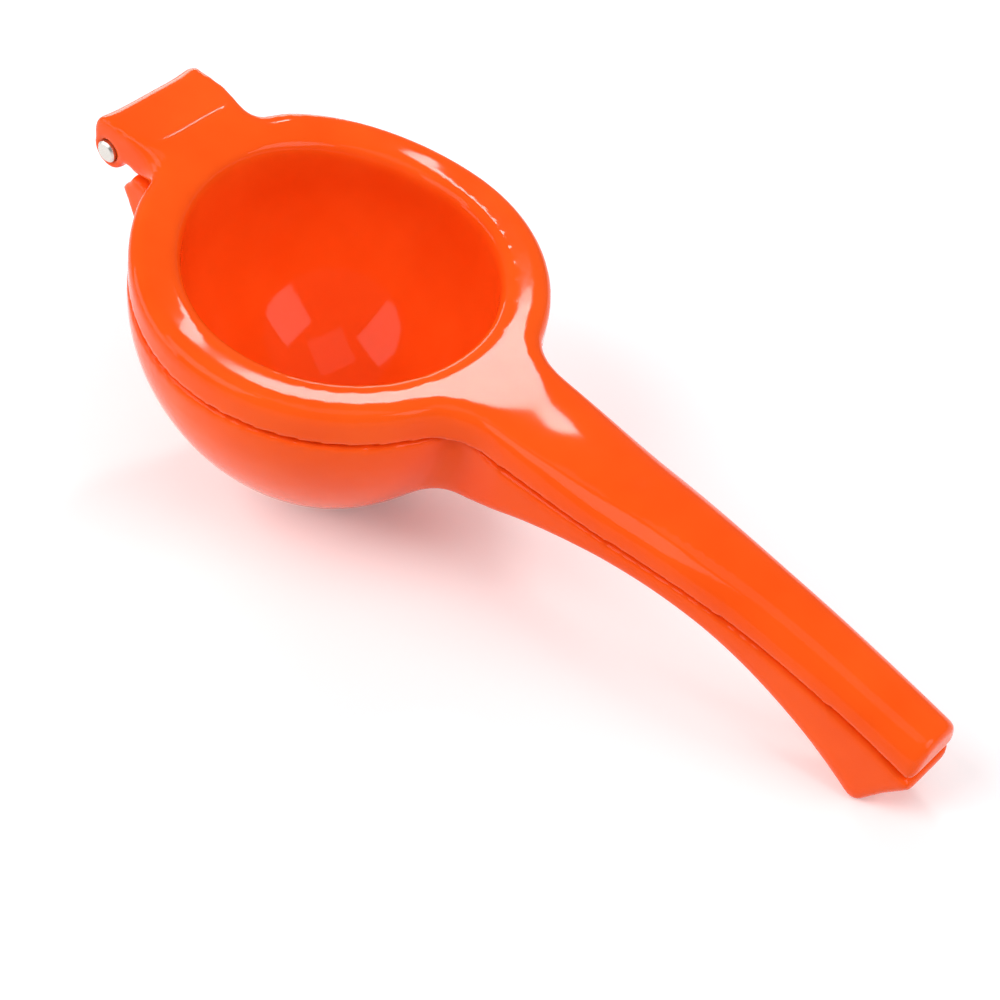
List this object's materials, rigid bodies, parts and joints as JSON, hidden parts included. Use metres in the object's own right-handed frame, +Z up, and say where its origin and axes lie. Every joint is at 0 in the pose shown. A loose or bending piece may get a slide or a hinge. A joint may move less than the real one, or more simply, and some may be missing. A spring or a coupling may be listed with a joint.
{
  "type": "citrus press juicer",
  "caption": "Hand-held lever citrus press: a hollow press cup on a ring arm swings on a hinge pin into a perforated bowl, with two matching handles.",
  "frame": {"origin": "middle of the bounding box, on the floor plane that the closed press stands on", "axes": "+X along the handles towards their ends, +Y along the hinge pin to the left of someone looking along +X, +Z up"},
  "size_m": [0.2406, 0.1, 0.0866],
  "materials": {
    "orange_enamel": "glossy baked enamel over cast aluminium",
    "steel": "plain turned rivet steel"
  },
  "bodies": {
    "bowl_arm": {"bowl_arm": "orange_enamel"},
    "press_arm": {"press_arm": "orange_enamel", "hinge_pin": "steel"}
  },
  "joints": [
    {"name": "press_hinge", "type": "hinge", "parent": "bowl_arm", "child": "press_arm", "pos_m": [-0.11532, 0, 0.07735], "axis": [0, -1, 0], "range_deg": [0, 140]}
  ]
}
